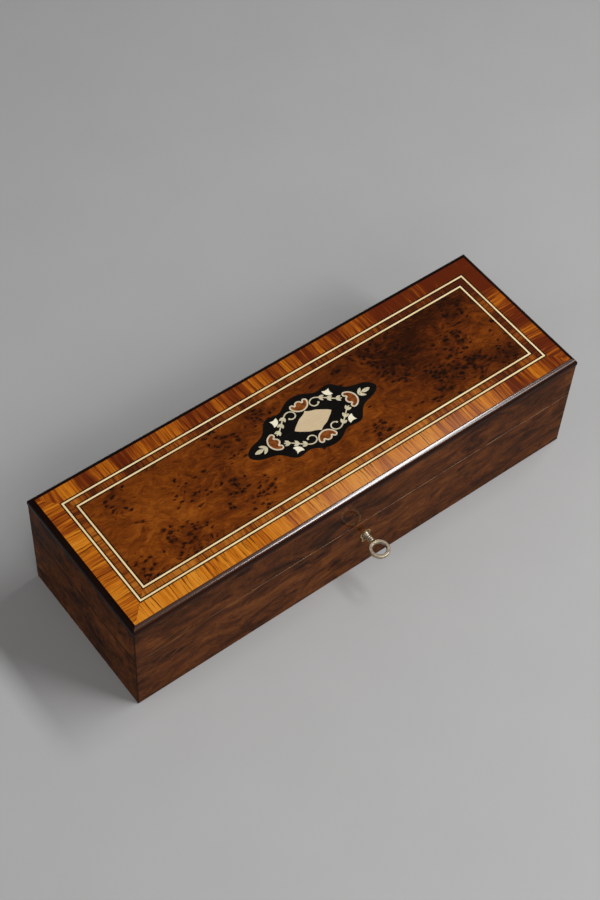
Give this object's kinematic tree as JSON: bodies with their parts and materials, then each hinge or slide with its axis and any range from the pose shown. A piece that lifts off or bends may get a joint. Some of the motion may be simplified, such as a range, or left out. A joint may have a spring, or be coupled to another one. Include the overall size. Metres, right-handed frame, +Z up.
{
  "type": "pen case",
  "caption": "Long inlaid wooden pen case with a hinged lid, a box lock worked by a ring-bow key, and a lined lift-out tray with half-round pen grooves.",
  "frame": {"origin": "middle of the underside", "axes": "+X along the case to the right seen from the front, -Y out of the front, +Z up"},
  "size_m": [0.3004, 0.1221, 0.075],
  "materials": {
    "burr_veneer": "french polished, glossy",
    "carcass_wood": "planed",
    "liner_wood": "waxed",
    "ebonised_wood": "stained black, polished",
    "striped_wood": "french polished, glossy",
    "dark_wood": "polished",
    "pale_wood": "polished",
    "red_wood": "stained, polished",
    "brass": "aged",
    "key_metal": "worn bright",
    "velvet": "short pile"
  },
  "bodies": {
    "base": {"bottom_panel": "carcass_wood", "base_front_wall": "carcass_wood", "base_back_wall": "carcass_wood", "base_left_wall": "carcass_wood", "base_right_wall": "carcass_wood", "base_front_veneer": "burr_veneer", "base_back_veneer": "burr_veneer", "base_left_veneer": "burr_veneer", "base_right_veneer": "burr_veneer", "liner_front": "liner_wood", "liner_back": "liner_wood", "liner_left": "liner_wood", "liner_right": "liner_wood", "floor_lining": "velvet", "tray_rests": "carcass_wood", "keyhole_escutcheon": "brass", "lock_plate": "brass", "lock_cap": "brass", "lock_drill_pin": "brass", "hinge_left_lower_leaf": "brass", "hinge_right_lower_leaf": "brass", "hinge_pins": "brass", "base_screws": "brass"},
    "key": {"key": "key_metal"},
    "lock_bolt": {"lock_bolt": "brass"},
    "tray": {"tray_front_rail": "liner_wood", "tray_back_rail": "liner_wood", "tray_left_rail": "liner_wood", "tray_right_rail": "liner_wood", "tray_base": "liner_wood", "pen_rest": "velvet"},
    "lid": {"lid_top_panel": "carcass_wood", "lid_front_wall": "carcass_wood", "lid_back_wall": "carcass_wood", "lid_left_wall": "carcass_wood", "lid_right_wall": "carcass_wood", "lid_front_veneer": "burr_veneer", "lid_back_veneer": "burr_veneer", "lid_left_veneer": "burr_veneer", "lid_right_veneer": "burr_veneer", "edge_moulding_front": "ebonised_wood", "edge_moulding_back": "ebonised_wood", "edge_moulding_left": "ebonised_wood", "edge_moulding_right": "ebonised_wood", "outer_crossband": "striped_wood", "stringing_dark": "dark_wood", "stringing_pale": "pale_wood", "inner_crossband": "striped_wood", "burr_field": "burr_veneer", "cartouche_ground": "ebonised_wood", "cartouche_plate": "pale_wood", "cartouche_shells": "red_wood", "cartouche_shell_rims": "pale_wood", "cartouche_scrolls": "pale_wood", "cartouche_flowers": "pale_wood", "lid_lining_pad": "velvet", "lock_link_plate": "brass", "hinge_left_upper_leaf": "brass", "hinge_right_upper_leaf": "brass", "lid_screws": "brass"}
  },
  "joints": [
    {"name": "lid_hinge", "type": "hinge", "parent": "base", "child": "lid", "pos_m": [0, 0.0519, 0.044], "axis": [-1, 0, 0], "range_deg": [0, 100]},
    {"name": "key_turn", "type": "hinge", "parent": "base", "child": "key", "pos_m": [0.0015, -0.0495, 0.03], "axis": [0, -1, 0], "range_deg": [0, 180]},
    {"name": "bolt_slide", "type": "slide", "parent": "base", "child": "lock_bolt", "axis": [-1, 0, 0], "range_m": [0, 0.005]},
    {"name": "tray_lift", "type": "slide", "parent": "base", "child": "tray", "axis": [0, 0, 1], "range_m": [0, 0.015]}
  ],
  "couplings": [
    {"joint": "key_turn", "follows": "bolt_slide", "rad_per_m": 628.32}
  ]
}
